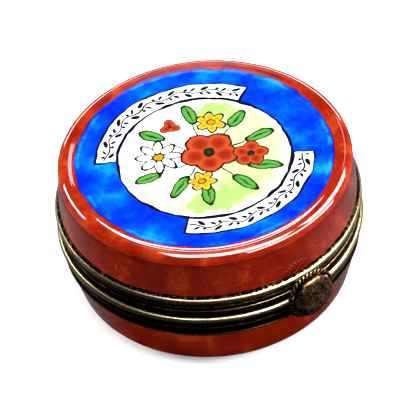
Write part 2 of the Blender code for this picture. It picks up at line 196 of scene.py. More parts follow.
def finish(name, **shader_values):
    """A new material, its node tree, its shader with the values that are the same all over, and the place on
    the piece that its patterns go by."""
    made = bpy.data.materials.new(name)
    made.use_nodes = True
    tree = made.node_tree
    shader = tree.nodes["Principled BSDF"]
    for socket, value in shader_values.items():
        shader.inputs[socket.replace("_", " ")].default_value = value
    return made, tree, shader, add_node(tree, "ShaderNodeTexCoord").outputs["Object"]


rolled_rim_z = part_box("lid_shell")[1].z - 1.55 * MM     # below it the lid is sponged like the bowl


def sponged_red(tree, place):
    """Iron red sponged over white porcelain: dabs about 5 mm wide, thinner and brighter where the sponge
    lifted, with 0.5 mm grains of pigment. The lid's rolled rim takes plainer, brighter reds: partly a plainer
    coat, partly painted light, as the rim's top is lit from above and the walls are not. Gives the colour's
    socket."""
    dabs = add_node(tree, "ShaderNodeTexNoise", {
        "Vector": place, "Scale": 1 / (5 * MM), "Detail": 4.0, "Roughness": 0.55, "Distortion": 0.25})
    grains = add_node(tree, "ShaderNodeTexNoise", {"Vector": place, "Scale": 1 / (0.5 * MM), "Detail": 2.0})
    mottle = worked(tree, grains.outputs["Fac"], ("MULTIPLY_ADD", 0.3, dabs.outputs["Fac"]))
    reds = add_node(tree, "ShaderNodeValToRGB", {"Fac": mottle},
                    stops=[(0.48, "#4E0A02"), (0.61, "#590D02"), (0.71, "#601003"), (0.86, "#7C270A")])
    # The rim's reds are brighter than the walls': partly a plainer coat, partly painted light from above.
    rim_coat_and_lit_reds = add_node(tree, "ShaderNodeValToRGB", {"Fac": mottle},
                        stops=[(0.48, "#6C0B03"), (0.66, "#831A05"), (0.86, "#9E3612")])
    level = add_node(tree, "ShaderNodeSeparateXYZ", {0: place}).outputs[2]
    on_rim_coat_and_lit = add_node(tree, "ShaderNodeMapRange", {
        "Value": level, "From Min": rolled_rim_z - 0.4 * MM, "From Max": rolled_rim_z})
    return add_node(tree, "ShaderNodeMix", {
        0: on_rim_coat_and_lit.outputs[0], 6: reds.outputs["Color"], 7: rim_coat_and_lit_reds.outputs["Color"]},
        data_type="RGBA").outputs[2]


def glaze_ripple(tree, place, shader, grain=3.5, depth=0.03):
    """The faint orange peel of a fired glaze, as bump. grain and depth are in mm."""
    peel = add_node(tree, "ShaderNodeTexNoise", {"Vector": place, "Scale": 1 / (grain * MM), "Detail": 1.5})
    bump = add_node(tree, "ShaderNodeBump", {
        "Height": peel.outputs["Fac"], "Distance": depth * MM, "Strength": 1.0})
    tree.links.new(bump.outputs["Normal"], shader.inputs["Normal"])


# Glazed porcelain: a clear, wet-looking glaze, index 1.5, over matt colour. Sharp highlights, no metal.
glazed = {"Roughness": 0.08, "IOR": 1.52}
thick_glazed = {**glazed, "Coat_Weight": 1.0, "Coat_Roughness": 0.03, "Coat_IOR": 1.5}
red_glaze, tree, shader, place = finish("sponged red glazed porcelain", **thick_glazed)
tree.links.new(sponged_red(tree, place), shader.inputs["Base Color"])
glaze_ripple(tree, place, shader)

# White glazed porcelain of the inside and the underside, cream where the glaze pools, with a few iron specks.
white_glaze, tree, shader, place = finish("white glazed porcelain", **glazed)
pools = add_node(tree, "ShaderNodeTexNoise", {"Vector": place, "Scale": 1 / (9 * MM), "Detail": 3.0})
creams = add_node(tree, "ShaderNodeValToRGB", {"Fac": pools.outputs["Fac"]},
                  stops=[(0.35, "#AFA99B"), (0.65, "#C2BDB1")])
specks = add_node(tree, "ShaderNodeTexVoronoi", {"Vector": place, "Scale": 1 / (2.6 * MM)})
speck_edge = add_node(tree, "ShaderNodeMapRange", {
    "Value": specks.outputs["Distance"], "From Min": 0.045, "From Max": 0.06,
    "To Min": 0.75, "To Max": 1.0})
speckled = add_node(tree, "ShaderNodeMix", {0: 1.0, 6: creams.outputs["Color"], 7: speck_edge.outputs[0]},
                    data_type="RGBA", blend_type="MULTIPLY")
tree.links.new(speckled.outputs[2], shader.inputs["Base Color"])
glaze_ripple(tree, place, shader, grain=5)

base_bowl.data.materials.append(red_glaze)
base_bowl.data.materials.append(white_glaze)
for face in base_bowl.data.polygons:
    middle = face.center / MM
    inside = middle.z > bowl_floor_z - 0.2 and middle.xy.length < bowl_mouth_r + 0.2
    underneath = middle.z < 1 and middle.xy.length < bowl_foot_r - 1.2
    face.material_index = 1 if inside or underneath else 0
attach(base_bowl, "base")
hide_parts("base_bowl")

# Brass band of the base
# A strip of drawn brass moulding bent round the bowl's mouth and cemented on. A big bead, a thin bead and a
# foot bead run round it, and a flange covers the rim. It is darkened, then rubbed bright on what stands out.
band_r = base_band_high.x / MM
base_band_top_z = base_band_high.z / MM
base_band_foot_z = base_band_low.z / MM
base_groove_r = band_r - 0.9
base_bead_r = 0.58
base_bead = (band_r - base_bead_r, base_band_top_z - 1.0)
thin_bead_r = 0.2
base_section = [(bowl_mouth_r + 0.85, base_band_top_z - 0.45), (bowl_mouth_r + 0.85, base_band_top_z - 0.1)]
base_section += [(bowl_mouth_r + 0.95, base_band_top_z), (base_groove_r + 0.02, base_band_top_z),
                 (base_groove_r + 0.12, base_band_top_z - 0.1)]
base_section += [(base_groove_r + 0.16, base_bead[1] + 0.56)]
base_section += arc(*base_bead, base_bead_r, 78, -78, 20)
base_section += [(base_groove_r + 0.1, base_bead[1] - 0.62), (base_groove_r, base_bead[1] - 0.72)]
base_section += arc(base_groove_r, base_band_top_z - 2.95, thin_bead_r, 90, -90, 8)
base_section += arc(base_groove_r, base_band_foot_z + 0.23, 0.22, 90, -90, 8)
base_section += [(bowl_step_r + 0.1, base_band_foot_z), (bowl_step_r + 0.1, base_band_top_z - 0.45)]
base_section += [base_section[0]]
base_bezel = thrown("base_brass_band", base_section, segments=384, smooth_angle=35)
wander(base_bezel, grain=1.1, depth=0.035)


def patina(tree, shader, place, reach, worn="#ECD09C", brown="#7C5826", crust="#050301", pit=0.3,
           pit_share=1.0, rough=0.38):
    """Colours and roughens a brass by reach, a socket that is 0 in a groove and 1 on what a polishing cloth
    rubs. pit is a pit's width in mm, and pit_share is how far the pits break the tones. The clouds of tarnish
    are 2.2 mm wide. rough is the roughness of what is rubbed."""
    pits = add_node(tree, "ShaderNodeTexNoise", {
        "Vector": place, "Scale": 1 / (pit * MM), "Detail": 3.0, "Roughness": 0.65})
    clouds = add_node(tree, "ShaderNodeTexNoise", {"Vector": place, "Scale": 1 / (2.2 * MM), "Detail": 3.0})
    breaks = worked(tree, pits.outputs["Fac"], ("MULTIPLY_ADD", pit_share, -pit_share / 2))
    drift = worked(tree, clouds.outputs["Fac"], ("MULTIPLY_ADD", 0.5, -0.25))
    ragged = worked(tree, reach, ("ADD", breaks), ("ADD", drift))
    tones = add_node(tree, "ShaderNodeValToRGB", {"Fac": ragged},
                     stops=[(0.25, crust), (0.43, "#2A1C0C"), (0.64, brown), (0.98, worn)])
    gloss = add_node(tree, "ShaderNodeMapRange", {
        "Value": ragged, "From Min": 0.3, "From Max": 0.8, "To Min": 0.5, "To Max": rough})
    bump = add_node(tree, "ShaderNodeBump", {
        "Height": pits.outputs["Fac"], "Distance": 0.02 * MM, "Strength": 0.6})
    tree.links.new(tones.outputs["Color"], shader.inputs["Base Color"])
    tree.links.new(gloss.outputs[0], shader.inputs["Roughness"])
    tree.links.new(bump.outputs["Normal"], shader.inputs["Normal"])


def out_from_axis(tree, place, across, centre=(0, 0, 0)):
    """How far a place is from an axis through centre. across is 0 along the axis and 1 the other two ways."""
    about = add_node(tree, "ShaderNodeVectorMath", {0: place, 1: centre}, operation="SUBTRACT")
    flat = add_node(tree, "ShaderNodeVectorMath", {0: about.outputs[0], 1: across}, operation="MULTIPLY")
    return add_node(tree, "ShaderNodeVectorMath", {0: flat.outputs[0]}, operation="LENGTH").outputs["Value"]


# Antique brass, drawn and patinated: a metal, so its colour is all in the reflection, from pale gold to near
# black.
band_brass, tree, shader, place = finish("antique brass moulding", Metallic=1.0)
level = add_node(tree, "ShaderNodeSeparateXYZ", {0: place}).outputs[2]
relief = add_node(tree, "ShaderNodeMapRange", {
    "Value": out_from_axis(tree, place, (1, 1, 0)), "From Min": (base_groove_r + 0.1) * MM,
    "From Max": band_r * MM})
# The base's lower groove is 0.1 mm deeper than the others, so its thin beads count as that much higher.
deeper = add_node(tree, "ShaderNodeMapRange", {
    "Value": level, "From Min": (base_bead[1] - 0.85) * MM, "From Max": (base_bead[1] - 0.7) * MM,
    "To Min": 0.125, "To Max": 0.0})
risen = worked(tree, relief.outputs[0], ("ADD", deeper.outputs[0]))
# How far the cloth rubbed each height, as greys: the crests of the thin beads, then the big beads.
rubbed = add_node(tree, "ShaderNodeValToRGB", {"Fac": risen},
                  stops=[(0.14, "#3F3F3F"), (0.22, "#E1E1E1"), (0.27, "#E1E1E1"), (0.33, "#959595"),
                         (0.44, "#C4C4C4"), (0.58, "#F4F4F4"), (0.7, "#FFFFFF")])
# The lid's band has a ledge on top that no cloth reaches. Its dirt is broken by bare grains of 0.5 mm.
ledge_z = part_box("lid_bezel")[1].z
soiled = add_node(tree, "ShaderNodeMapRange", {
    "Value": level, "From Min": ledge_z - 0.32 * MM, "From Max": ledge_z - 0.12 * MM,
    "To Min": 0.0, "To Max": 0.8})
grit = add_node(tree, "ShaderNodeTexNoise", {"Vector": place, "Scale": 1 / (0.5 * MM), "Detail": 3.0})
caked = add_node(tree, "ShaderNodeMapRange", {
    "Value": grit.outputs["Fac"], "From Min": 0.46, "From Max": 0.58, "To Min": 1.0, "To Max": 0.0})
dirt = worked(tree, soiled.outputs[0], ("MULTIPLY", caked.outputs[0]))
reach = worked(tree, rubbed.outputs["Color"], ("SUBTRACT", dirt))
patina(tree, shader, place, reach, worn="#FAE6BA", brown="#9C7434", rough=0.3)

# Clean brass of what faces inwards: yellower and smoother, with turning lines. A real tool leaves them about
# 0.1 mm apart, and here they are 0.94 mm apart, 2 pi times turn_mm, because finer ones don't show.
inner_brass, tree, shader, place = finish("polished inner brass", Metallic=1.0)
tarnish = add_node(tree, "ShaderNodeTexNoise", {"Vector": place, "Scale": 1 / (3 * MM), "Detail": 4.0})
golds = add_node(tree, "ShaderNodeValToRGB", {"Fac": tarnish.outputs["Fac"]},
                 stops=[(0.35, "#A98248"), (0.6, "#D2AE6C"), (0.75, "#E2C588")])
turn_mm = 0.15           # mm for one radian of the wave
wave_radians = 20        # a wave of scale 1 runs through 20 radians in a metre
turning = add_node(tree, "ShaderNodeTexWave", {
    "Vector": place, "Scale": 1 / (turn_mm * MM) / wave_radians, "Distortion": 0.4},
    wave_type="RINGS", rings_direction="Z")
scratch = add_node(tree, "ShaderNodeMapRange", {
    "Value": turning.outputs["Fac"], "To Min": 0.24, "To Max": 0.34})
tree.links.new(golds.outputs["Color"], shader.inputs["Base Color"])
tree.links.new(scratch.outputs[0], shader.inputs["Roughness"])

base_bezel.data.materials.append(band_brass)
base_bezel.data.materials.append(inner_brass)
for face in base_bezel.data.polygons:
    middle = face.center / MM
    inwards = middle.xy.length < base_groove_r - 0.35 or middle.z > base_band_top_z - 0.01
    face.material_index = 1 if inwards else 0
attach(base_bezel, "base")
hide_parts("base_bezel")

# Inner collar
# A thin ring of rolled brass that stands up in the mouth of the base and guides the lid home. It is soldered
# inside the flange of the base's band, and its top edge is rounded over.
collar_low, collar_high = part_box("base_collar")
collar_r = collar_high.x / MM
collar_top_z = collar_high.z / MM
collar_foot_z = collar_low.z / MM
collar_wall = 0.4
collar_section = [(collar_r - collar_wall, collar_foot_z), (collar_r, collar_foot_z)]
collar_section += arc(collar_r - collar_wall / 2, collar_top_z - collar_wall / 2, collar_wall / 2, 0, 180, 10)
collar_section += [collar_section[0]]
base_collar = thrown("inner_collar", collar_section)
base_collar.data.materials.append(inner_brass)
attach(base_collar, "base")
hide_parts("base_collar")

# Porcelain lid
# The top half: slip cast, with a near upright wall, a neck, a rolled rim and a flat top a little below the
# rim's crest. The outside is sponged red. The top is painted by hand with a blue ring, two white bands and a
# medallion.
lid_low, lid_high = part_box("lid_shell")
lid_band_low, lid_band_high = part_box("lid_bezel")
lid_foot_r = lid_high.x / MM
lid_crest_z = lid_high.z / MM
lid_rim_z = lid_low.z / MM
lid_shoulder_z = lid_band_high.z / MM + 0.02
lid_step_r = lid_foot_r - 1.0
lid_wall_t = 1.6
lid_mouth_r = lid_step_r - lid_wall_t
lid_hollow_r = 2.2              # the round from the wall to the roof inside
disc_z = lid_crest_z - 0.4
disc_r = lid_foot_r - 3.1
roof_z = disc_z - 2.6
lid_top = [(radius, disc_z) for radius in (0, 2, 5, 9, 13.5, 17, 19.5)]
# The rolled rim, as (tilt in degrees, length): flatter near 22 and 47 degrees, where it was wiped.
lid_roll = [(disc_r + 1.32, lid_crest_z + 0.02)]
for tilt, length in ((7.5, 0.18), (18, 0.34), (27, 0.36), (36, 0.14), (44.5, 0.25), (49.5, 0.25), (62, 0.18),
                     (80, 0.2)):
    roll_r, roll_z = lid_roll[-1]
    lid_roll.append((roll_r + length * cos(radians(tilt)), roll_z - length * sin(radians(tilt))))
lid_outside = eased([(disc_r - 0.9, disc_z), (disc_r - 0.3, disc_z), (disc_r + 0.35, disc_z + 0.15),
                     (disc_r + 0.95, disc_z + 0.36)] + lid_roll
                    + [(disc_r + 2.69, lid_crest_z - 1.3), (disc_r + 2.54, lid_crest_z - 1.75),
                       (disc_r + 2.46, lid_crest_z - 2.05), (disc_r + 2.66, lid_crest_z - 2.4),
                       (disc_r + 2.78, lid_crest_z - 2.95), (lid_foot_r - 0.2, lid_crest_z - 4.6),
                       (lid_foot_r, lid_shoulder_z + 0.9), (lid_foot_r, lid_shoulder_z + 0.05),
                       (lid_foot_r - 0.25, lid_shoulder_z), (lid_step_r, lid_shoulder_z)], rounds=3)
lid_inside = [(lid_step_r, lid_rim_z)]
lid_inside += eased([(lid_mouth_r + 0.5, lid_rim_z), (lid_mouth_r, lid_rim_z),
                     (lid_mouth_r, lid_rim_z + 0.6)])
lid_inside += arc(lid_mouth_r - lid_hollow_r, roof_z - lid_hollow_r, lid_hollow_r, 0, 90, 8)
lid_inside += [(12, roof_z), (5, roof_z), (0, roof_z)]
lid_shell = thrown("porcelain_lid", lid_top + lid_outside + lid_inside)
wander(lid_shell, grain=11, depth=0.06)

# Painted porcelain: overglaze colours brushed on by hand and fired, so the brush's tide marks and the slight
# shake of each line show. All sizes are in mm about the middle of the lid.
painted_glaze, tree, shader, place = finish("hand painted glazed porcelain", **thick_glazed)
blue_r = disc_r - 0.4
blue_drift = (0.12, 0.21, 0)     # the ring was brushed a little further out at the back
blue_stretch = (1.004, 1.018, 1)
ring_inner_r = 14.1
ribbon_r = 16.0
ribbon_half = 1.75
red_paint = sponged_red(tree, place)
in_mm = add_node(tree, "ShaderNodeVectorMath", {0: place, "Scale": 1 / MM}, operation="SCALE").outputs[0]
shake = add_node(tree, "ShaderNodeTexNoise", {"Vector": in_mm, "Scale": 0.22, "Detail": 2.0})
shake_off = add_node(tree, "ShaderNodeVectorMath", {0: shake.outputs["Color"], 1: (-0.5, -0.5, -0.5)},
                     operation="ADD")
shaken = add_node(tree, "ShaderNodeVectorMath", {0: shake_off.outputs[0], 1: (1.1, 1.1, 0), 2: in_mm},
                  operation="MULTIPLY_ADD").outputs[0]
flat = add_node(tree, "ShaderNodeVectorMath", {0: shaken, 1: (1, 1, 0)}, operation="MULTIPLY").outputs[0]
out = add_node(tree, "ShaderNodeVectorMath", {0: flat}, operation="LENGTH").outputs["Value"]
from_blue = add_node(tree, "ShaderNodeMapping", {
    "Vector": flat, "Location": blue_drift, "Scale": blue_stretch}, vector_type="TEXTURE")
blue_out = add_node(tree, "ShaderNodeVectorMath", {0: from_blue.outputs[0]},
                    operation="LENGTH").outputs["Value"]
pressure = add_node(tree, "ShaderNodeTexNoise", {"Vector": in_mm, "Scale": 0.3, "Detail": 3.0}).outputs["Fac"]


def brushed(under, over, mask):
    """Lays a colour over another where a mask is 1."""
    return add_node(tree, "ShaderNodeMix", {0: mask, 6: under, 7: over}, data_type="RGBA").outputs[2]


def within(value, low, high):
    """1 where a value is under low, easing to 0 at high."""
    return add_node(tree, "ShaderNodeMapRange", {
        "Value": value, "From Min": low, "From Max": high, "To Min": 1.0, "To Max": 0.0}).outputs[0]


def pressed_line(thin, thick):
    """Half the width in mm of a line drawn with a brush, thin or thick by the hand's pressure."""
    return add_node(tree, "ShaderNodeMapRange", {
        "Value": pressure, "From Min": 0.35, "From Max": 0.65,
        "To Min": thin, "To Max": thick}).outputs[0]


# The blue ring: a loaded brush leaves pools of deep blue and pale streaks 6 mm long.
pools = add_node(tree, "ShaderNodeTexNoise", {
    "Vector": in_mm, "Scale": 1 / 6, "Detail": 4.0, "Roughness": 0.6, "Distortion": 0.15})
blues = add_node(tree, "ShaderNodeValToRGB", {"Fac": pools.outputs["Fac"]},
                 stops=[(0.36, "#001CD8"), (0.48, "#0033F8"), (0.59, "#0052FF"), (0.72, "#0A80FF")])
painted = brushed(red_paint, blues.outputs["Color"], within(blue_out, blue_r - 0.05, blue_r + 0.05))
# Just inside the ring's edge the blue is paler in patches: partly the brush's tide mark, partly a painted
# highlight where the top turns up into the rim.
tide_and_sheen_edge = within(worked(tree, blue_out, ("SUBTRACT", blue_r - 0.55), ("ABSOLUTE",)), 0.0, 0.4)
pale_patches = add_node(tree, "ShaderNodeMapRange", {
    "Value": pools.outputs["Fac"], "From Min": 0.45, "From Max": 0.65})
painted = brushed(painted, colour("#1E86FF"), worked(tree, tide_and_sheen_edge, ("MULTIPLY", pale_patches.outputs[0])))
edge_width = pressed_line(0.0, 0.16)
past_edge = worked(tree, blue_out, ("SUBTRACT", blue_r), ("ABSOLUTE",), ("SUBTRACT", edge_width))
painted = brushed(painted, colour("#1A1258"), within(past_edge, -0.05, 0.05))

# Two white ribbons with ink outlines, above and below the medallion, each filled with a running sprig in ink:
# a wavy stem, a leaf to each side by turns and a berry opposite each leaf.
ink = colour("#070B1C")
sprig_pitch = 2.6
sprig_marks = (((0.1, 0.72, 0), (0.86, 0.38, 1), 32), ((-0.35, -0.62, 0), (0.32, 0.32, 1), 0),
               ((0.75, -0.45, 0), (0.58, 0.27, 1), -38))     # middle, half sizes and turn in degrees
for half_turn, middle_deg, half_width_deg in ((1, 4.5, 57), (-1, -2.5, 50.5)):
    seen = add_node(tree, "ShaderNodeVectorMath", {0: flat, 1: (half_turn, half_turn, 0)},
                    operation="MULTIPLY")
    parts = add_node(tree, "ShaderNodeSeparateXYZ", {0: seen.outputs[0]})
    along = worked(tree, parts.outputs[0], ("ARCTAN2", parts.outputs[1]), ("SUBTRACT", radians(middle_deg)),
                   ("MULTIPLY", ribbon_r))
    across = worked(tree, out, ("SUBTRACT", ribbon_r))
    past_end = worked(tree, along, ("ABSOLUTE",), ("SUBTRACT", radians(half_width_deg) * ribbon_r))
    past_side = worked(tree, across, ("ABSOLUTE",), ("SUBTRACT", ribbon_half))
    past = worked(tree, past_end, ("MAXIMUM", past_side))
    painted = brushed(painted, colour("#FBFAF6"), within(past, 0.0, 0.06))
    cell = worked(tree, along, ("MULTIPLY", 1 / sprig_pitch))
    cell_start = worked(tree, cell, ("FLOOR",))
    in_cell = worked(tree, cell, ("SUBTRACT", cell_start), ("SUBTRACT", 0.5), ("MULTIPLY", sprig_pitch))
    side = worked(tree, cell_start, ("FLOORED_MODULO", 2.0), ("MULTIPLY", 2.0), ("SUBTRACT", 1.0))
    sideways = worked(tree, across, ("MULTIPLY", side))
    leaf_point = add_node(tree, "ShaderNodeCombineXYZ", {0: in_cell, 1: sideways})
    stem = worked(tree, along, ("MULTIPLY", pi / sprig_pitch), ("COSINE",), ("MULTIPLY", 0.4))
    marks = within(worked(tree, across, ("SUBTRACT", stem), ("ABSOLUTE",)), 0.12, 0.2)
    for spot, size, turn in sprig_marks:
        leaf = add_node(tree, "ShaderNodeMapping", {
            "Vector": leaf_point.outputs[0], "Location": spot, "Rotation": (0, 0, radians(turn)),
            "Scale": size}, vector_type="TEXTURE")
        far = add_node(tree, "ShaderNodeVectorMath", {0: leaf.outputs[0]}, operation="LENGTH")
        marks = worked(tree, marks, ("MAXIMUM", within(far.outputs["Value"], 0.85, 1.1)))
    painted = brushed(painted, ink, worked(tree, marks, ("MULTIPLY", within(past, -0.5, -0.35))))
    outline = worked(tree, past, ("ABSOLUTE",), ("SUBTRACT", edge_width))
    painted = brushed(painted, ink, within(outline, 0.06, 0.16))

# Inside the ring the ground stays white.
painted = brushed(painted, colour("#FDFCF7"), within(out, ring_inner_r - 0.02, ring_inner_r + 0.02))
ring_width = pressed_line(0.1, 0.36)
past_ring = worked(tree, out, ("SUBTRACT", ring_inner_r), ("ABSOLUTE",), ("SUBTRACT", ring_width))
painted = brushed(painted, ink, within(past_ring, 0.0, 0.08))
tree.links.new(painted, shader.inputs["Base Color"])
glaze_ripple(tree, place, shader)

# The medallion, painted the same way: a pale green wash, and a spray of poppies, yellow and white blooms and
# leaves, each brushed in and then outlined in ink.
medallion_glaze, tree, shader, place = finish("hand painted medallion", **thick_glazed)
spray_size = 1.1
in_mm = add_node(tree, "ShaderNodeVectorMath", {0: place, "Scale": 1 / spray_size / MM},
                 operation="SCALE").outputs[0]
wet = add_node(tree, "ShaderNodeTexNoise", {"Vector": in_mm, "Scale": 0.55, "Detail": 4.0, "Roughness": 0.6})
wet_off = add_node(tree, "ShaderNodeVectorMath", {0: wet.outputs["Color"], 1: (-0.5, -0.5, -0.5)},
                   operation="ADD")
brush_point, wash_point = [
    add_node(tree, "ShaderNodeVectorMath", {0: wet_off.outputs[0], 1: (stray, stray, 0), 2: in_mm},
             operation="MULTIPLY_ADD").outputs[0] for stray in (0.9, 7)]
picture = colour("#FDFCF7")


def brush_oval(point, spot, size, turn):
    """Distance from the middle, 0, of an oval dab to its edge, 1. Its middle and half sizes are in mm and its
    turn in degrees."""
    dab = add_node(tree, "ShaderNodeMapping", {
        "Vector": point, "Location": (*spot, 0), "Rotation": (0, 0, radians(turn)), "Scale": (*size, 1)},
        vector_type="TEXTURE")
    level = add_node(tree, "ShaderNodeVectorMath", {0: dab.outputs[0], 1: (1, 1, 0)}, operation="MULTIPLY")
    return add_node(tree, "ShaderNodeVectorMath", {0: level.outputs[0]}, operation="LENGTH").outputs["Value"]


def tinted(picture, far, stops):
    """Lays tones on a picture from a dab's middle to its edge."""
    tones = add_node(tree, "ShaderNodeValToRGB", {"Fac": far}, stops=stops)
    return brushed(picture, tones.outputs["Color"], tones.outputs["Alpha"])


for spot, size, turn, tone in (((5, -4), (15, 9.5), 40, "#A9C285"), ((9, 1), (6, 10), -10, "#B4CA90"),
                               ((-4, -8.5), (10, 5), -15, "#8DB65E"), ((7, 7), (5, 4), 0, "#8DB65E")):
    picture = tinted(picture, brush_oval(wash_point, spot, size, turn), [(0.4, tone, 1.0), (1.0, tone, 0.0)])
from_middle = brush_oval(in_mm, (0, 0), (1, 1), 0)
picture = brushed(colour("#FDFCF7"), picture, within(from_middle, 11.9, 12.25))

leaf_tones = [(0.0, "#2B6A24", 1), (0.5, "#4E8E38", 1), (0.78, "#3A7A2C", 1), (0.82, "#0A1E10", 1),
              (0.98, "#0A1E10", 1), (1.0, "#0A1E10", 0)]
leaf_ink = colour("#0A1E10")
# Each leaf: middle, half length and turn in degrees.
leaves = (((-6.6, -2.6), 2.7, 205), ((-4.4, -6.4), 2.6, 240), ((1.2, -8.2), 2.5, 280),
          ((5.6, -7.2), 2.7, 318), ((9.0, -1.6), 2.4, 350), ((8.6, 3.4), 2.2, 20), ((-9.0, 2.0), 2.2, 168),
          ((-3.0, 8.8), 2.2, 118), ((4.0, 8.8), 2.3, 74))
for spot, half_length, turn in leaves:
    stem_middle, stem_half = (spot[0] * 0.5, spot[1] * 0.5), Vector(spot).length * 0.5
    stem = brush_oval(brush_point, stem_middle, (stem_half, 0.16), degrees(atan2(spot[1], spot[0])))
    picture = brushed(picture, leaf_ink, within(stem, 0.55, 1.0))
    picture = tinted(picture, brush_oval(brush_point, spot, (half_length, 1.05), turn), leaf_tones)
    vein = brush_oval(brush_point, spot, (half_length * 0.9, 0.14), turn)
    picture = brushed(picture, leaf_ink, within(vein, 0.5, 1.0))

poppy = [(0.0, "#6E1A0A", 1), (0.4, "#87250E", 1), (0.72, "#A2421E", 1), (0.86, "#8C2C10", 1),
         (0.89, "#160806", 1), (0.98, "#160806", 1), (1.0, "#160806", 0)]
yellow = [(0.0, "#A87410", 1), (0.5, "#B8931B", 1), (0.7, "#C8AC3E", 1), (0.74, "#1E1608", 1),
          (0.97, "#1E1608", 1), (1.0, "#1E1608", 0)]
white_petal = [(0.0, "#A8B09E", 1), (0.5, "#FFFFFF", 1), (0.66, "#FFFFFF", 1), (0.71, "#10141C", 1),
               (0.97, "#10141C", 1), (1.0, "#10141C", 0)]
black_heart = [(0.0, "#2C3A1C", 1), (0.5, "#10180C", 1), (0.9, "#141C10", 1), (1.0, "#141C10", 0)]
gold_heart = [(0.0, "#A0640C", 1), (0.6, "#B88414", 1), (0.78, "#2A1C08", 1), (0.96, "#2A1C08", 1),
              (1.0, "#2A1C08", 0)]
# Each bloom: middle, number of petals, distance out to a petal's middle, its half length and half width,
# first turn, tones, tones of the heart and the heart's radius.
blooms = (((-5.0, 4.6), 8, 2.0, 1.65, 0.84, 10, white_petal, gold_heart, 0.9),
          ((5.4, 5.4), 6, 1.25, 1.2, 0.8, 0, yellow, gold_heart, 0.7),
          ((-3.4, -3.8), 6, 1.15, 1.15, 0.75, 20, yellow, gold_heart, 0.65),
          ((1.2, 0.4), 5, 2.3, 2.2, 2.1, 18, poppy, black_heart, 1.0),
          ((5.6, -3.9), 5, 1.4, 1.4, 1.25, 50, poppy, black_heart, 0.62),
          ((0.2, 8.6), 3, 0.7, 1.05, 0.85, 60, poppy, black_heart, 0.3))
for middle, petals, out_by, half_length, half_width, first, tones, heart, heart_r in blooms:
    centred = add_node(tree, "ShaderNodeMapping", {
        "Vector": brush_point, "Location": (*middle, 0), "Rotation": (0, 0, radians(first))},
        vector_type="TEXTURE")
    parts = add_node(tree, "ShaderNodeSeparateXYZ", {0: centred.outputs[0]})
    turn = worked(tree, parts.outputs[1], ("ARCTAN2", parts.outputs[0]), ("PINGPONG", pi / petals))
    far = brush_oval(brush_point, middle, (1, 1), 0)
    one_petal = add_node(tree, "ShaderNodeCombineXYZ", {
        0: worked(tree, turn, ("COSINE",), ("MULTIPLY", far)),
        1: worked(tree, turn, ("SINE",), ("MULTIPLY", far))})
    petal = brush_oval(one_petal.outputs[0], (out_by, 0), (half_length, half_width), 0)
    picture = tinted(picture, petal, tones)
    picture = tinted(picture, worked(tree, far, ("MULTIPLY", 1 / heart_r)), heart)
tree.links.new(picture, shader.inputs["Base Color"])
glaze_ripple(tree, place, shader)

for glaze in (red_glaze, white_glaze, painted_glaze, medallion_glaze):
    lid_shell.data.materials.append(glaze)
for face in lid_shell.data.polygons:
    middle = face.center / MM
    inside = middle.z < roof_z + 0.3 and middle.xy.length < lid_step_r - 0.2
    on_top = middle.z > disc_z - 0.2 and middle.xy.length < disc_r + 0.9
    in_medallion = on_top and middle.xy.length < ring_inner_r - 1.3
    face.material_index = 1 if inside else 3 if in_medallion else 2 if on_top else 0
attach(lid_shell, "lid")
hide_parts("lid_shell")

# Brass band of the lid
# The same drawn moulding, narrower: a rough ledge that the porcelain sits on, a big bead, two thin beads and
# an edge bead, with a flange turned in below the lid's rim. It is cemented on and carries the clasp.
lid_band_top_z = lid_band_high.z / MM
lid_band_foot_z = lid_band_low.z / MM
lid_groove_r = band_r - 0.8
lid_bead_r = 0.5
lid_bead = (band_r - lid_bead_r, lid_band_foot_z + 3.0)
ledge_r = lid_foot_r + 0.25
lid_section = [(lid_step_r + 0.1, lid_band_foot_z + 0.45), (lid_step_r + 0.1, lid_band_top_z)]
lid_section += [(ledge_r - 0.1, lid_band_top_z), (ledge_r, lid_band_top_z - 0.08)]
lid_section += arc(*lid_bead, lid_bead_r, 68, -78, 20)
lid_section += [(lid_groove_r + 0.08, lid_bead[1] - 0.54), (lid_groove_r, lid_bead[1] - 0.62)]
for thin_bead_z in (lid_band_foot_z + 2.05, lid_band_foot_z + 1.45):
    lid_section += arc(lid_groove_r, thin_bead_z, thin_bead_r, 90, -90, 8)
lid_section += arc(lid_groove_r, lid_band_foot_z + 0.43, 0.3, 90, -90, 10)
lid_section += [(lid_groove_r - 0.1, lid_band_foot_z), (lid_mouth_r + 0.1, lid_band_foot_z),
                (lid_mouth_r, lid_band_foot_z + 0.1), (lid_mouth_r, lid_band_foot_z + 0.45)]
lid_section += [lid_section[0]]
lid_bezel = thrown("lid_brass_band", lid_section, segments=384, smooth_angle=35)
wander(lid_bezel, grain=1.1, depth=0.035)
lid_bezel.data.materials.append(band_brass)
lid_bezel.data.materials.append(inner_brass)
for face in lid_bezel.data.polygons:
    middle = face.center / MM
    inwards = middle.xy.length < lid_groove_r - 0.3 and middle.z < lid_band_top_z - 0.01
    face.material_index = 1 if inwards else 0
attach(lid_bezel, "lid")
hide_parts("lid_bezel")

# Hinge
# Five short brass tubes on one pin, soldered by turns to the base's band and the lid's. Each tube has a foot
# filed to the band's curve, its edges rounded by solder and wear, and the pin's ends are peened into small
# heads.
hinge_brass, tree, shader, place = finish("antique brass tube", Metallic=1.0)
pin_low, pin_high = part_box("hinge_pin")
hinge_out = out_from_axis(tree, place, (0, 1, 1), tuple((pin_low + pin_high) / 2))
hinge_reach = add_node(tree, "ShaderNodeMapRange", {
    "Value": hinge_out, "From Min": 0.5 * MM, "From Max": 1.15 * MM, "To Min": 0.1, "To Max": 0.95})
patina(tree, shader, place, hinge_reach.outputs[0])


